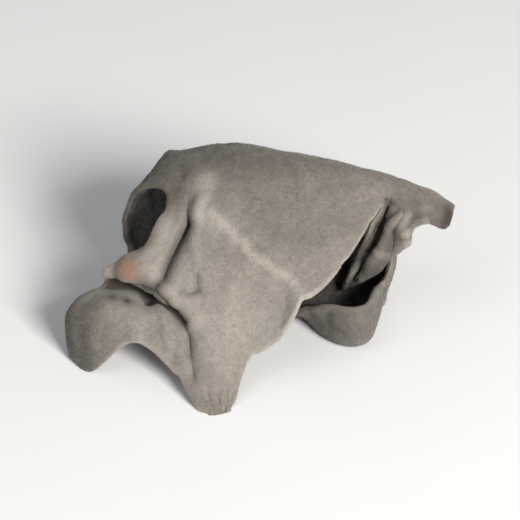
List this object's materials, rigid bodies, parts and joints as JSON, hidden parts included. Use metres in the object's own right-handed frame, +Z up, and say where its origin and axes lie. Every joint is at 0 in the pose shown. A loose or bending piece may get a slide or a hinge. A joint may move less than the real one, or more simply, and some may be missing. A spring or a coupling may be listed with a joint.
{
  "type": "dried wood ear mushroom",
  "caption": "Dried ear-shaped fungus: a thin leathery sheet folded like a tent, with a curled margin, a rolled tip, a stem scar and an open hollow underneath.",
  "frame": {"origin": "centre of the bounding box in plan, on the surface the ear rests on", "axes": "+X from the stem end to the rolled tip, +Y from the front margin to the back, +Z up"},
  "size_m": [0.045, 0.0312, 0.0207],
  "materials": {
    "ear": "dry, velvety warm grey outside; smooth near-black inside"
  },
  "bodies": {
    "root": {"ear": "ear"}
  },
  "joints": []
}
